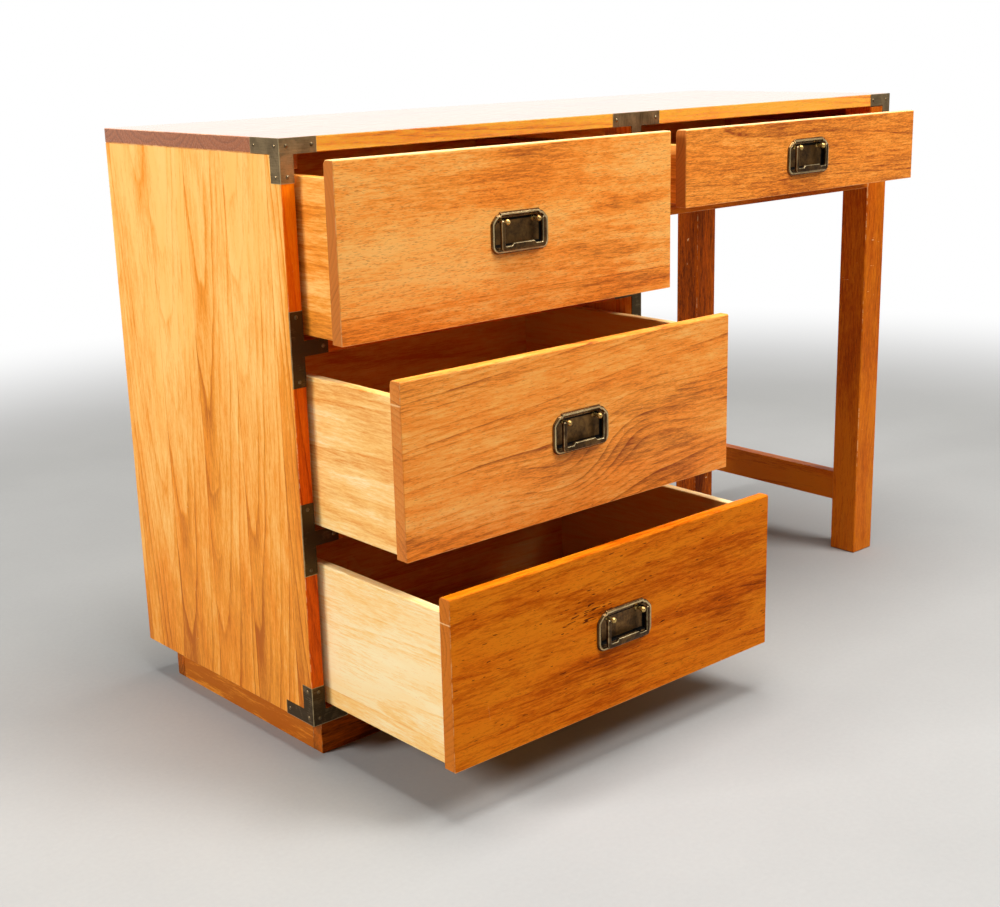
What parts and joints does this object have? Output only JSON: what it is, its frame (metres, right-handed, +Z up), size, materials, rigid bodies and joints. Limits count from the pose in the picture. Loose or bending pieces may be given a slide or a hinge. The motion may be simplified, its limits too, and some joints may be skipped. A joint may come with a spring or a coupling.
{
  "type": "campaign desk",
  "caption": "Small pine writing desk with a pedestal of drawers on a plinth, a knee space under a shallow drawer, and brass corner brackets and recessed pulls.",
  "frame": {"origin": "on the floor, at the middle of the whole desk's box with the drawers as modelled, part open", "axes": "+X along the desk to the sitter's right, -Y out of the drawer fronts, +Z up"},
  "size_m": [1.143, 0.6548, 0.75],
  "materials": {
    "case_wood": "honey-stained pine, worn satin lacquer",
    "top_wood": "honey-stained pine, gloss lacquer",
    "front_wood": "orange-brown stained pine, satin lacquer",
    "drawer_wood": "bare pale pine",
    "plain_ply": "bare thin plywood",
    "antique_brass": "dull antique brass, worn brighter at the edges"
  },
  "bodies": {
    "case": {"desktop": "top_wood", "side_panel_left": "case_wood", "side_panel_inner": "case_wood", "pedestal_back": "plain_ply", "bottom_panel": "case_wood", "rail_lower": "case_wood", "rail_upper": "case_wood", "knee_rail": "case_wood", "plinth_front": "case_wood", "plinth_back": "case_wood", "plinth_left": "case_wood", "plinth_right": "case_wood", "leg_front": "case_wood", "leg_back": "case_wood", "stretcher": "case_wood", "apron_side": "case_wood", "apron_back": "case_wood", "top_cleats": "drawer_wood", "drawer_runners": "drawer_wood", "knee_runners": "drawer_wood", "corner_top_left": "antique_brass", "corner_top_right": "antique_brass", "corner_bottom_left": "antique_brass", "corner_bottom_right": "antique_brass", "tee_top": "antique_brass", "rail_tees": "antique_brass"},
    "top_drawer": {"top_drawer_front": "front_wood", "top_drawer_side_left": "drawer_wood", "top_drawer_side_right": "drawer_wood", "top_drawer_back": "drawer_wood", "top_drawer_bottom": "plain_ply", "top_drawer_pull_plate": "antique_brass", "top_drawer_pull_posts": "antique_brass"},
    "middle_drawer": {"middle_drawer_front": "front_wood", "middle_drawer_side_left": "drawer_wood", "middle_drawer_side_right": "drawer_wood", "middle_drawer_back": "drawer_wood", "middle_drawer_bottom": "plain_ply", "middle_drawer_pull_plate": "antique_brass", "middle_drawer_pull_posts": "antique_brass"},
    "bottom_drawer": {"bottom_drawer_front": "front_wood", "bottom_drawer_side_left": "drawer_wood", "bottom_drawer_side_right": "drawer_wood", "bottom_drawer_back": "drawer_wood", "bottom_drawer_bottom": "plain_ply", "bottom_drawer_pull_plate": "antique_brass", "bottom_drawer_pull_posts": "antique_brass"},
    "knee_drawer": {"knee_drawer_front": "front_wood", "knee_drawer_side_left": "drawer_wood", "knee_drawer_side_right": "drawer_wood", "knee_drawer_back": "drawer_wood", "knee_drawer_bottom": "plain_ply", "knee_drawer_pull_plate": "antique_brass", "knee_drawer_pull_posts": "antique_brass"},
    "top_bail": {"top_drawer_bail": "antique_brass"},
    "middle_bail": {"middle_drawer_bail": "antique_brass"},
    "bottom_bail": {"bottom_drawer_bail": "antique_brass"},
    "knee_bail": {"knee_drawer_bail": "antique_brass"}
  },
  "joints": [
    {"name": "top_drawer_slide", "type": "slide", "parent": "case", "child": "top_drawer", "axis": [0, -1, 0], "range_m": [-0.072, 0.228]},
    {"name": "top_bail_swing", "type": "hinge", "parent": "top_drawer", "child": "top_bail", "pos_m": [-0.283, -0.1516, 0.639], "axis": [-1, 0, 0], "range_deg": [0, 95]},
    {"name": "middle_drawer_slide", "type": "slide", "parent": "case", "child": "middle_drawer", "axis": [0, -1, 0], "range_m": [-0.173, 0.127]},
    {"name": "middle_bail_swing", "type": "hinge", "parent": "middle_drawer", "child": "middle_bail", "pos_m": [-0.283, -0.2526, 0.411], "axis": [-1, 0, 0], "range_deg": [0, 95]},
    {"name": "bottom_drawer_slide", "type": "slide", "parent": "case", "child": "bottom_drawer", "axis": [0, -1, 0], "range_m": [-0.244, 0.056]},
    {"name": "bottom_bail_swing", "type": "hinge", "parent": "bottom_drawer", "child": "bottom_bail", "pos_m": [-0.283, -0.3236, 0.183], "axis": [-1, 0, 0], "range_deg": [0, 95]},
    {"name": "knee_drawer_slide", "type": "slide", "parent": "case", "child": "knee_drawer", "axis": [0, -1, 0], "range_m": [-0.079, 0.221]},
    {"name": "knee_bail_swing", "type": "hinge", "parent": "knee_drawer", "child": "knee_bail", "pos_m": [0.264, -0.1586, 0.6905], "axis": [-1, 0, 0], "range_deg": [0, 95]}
  ]
}
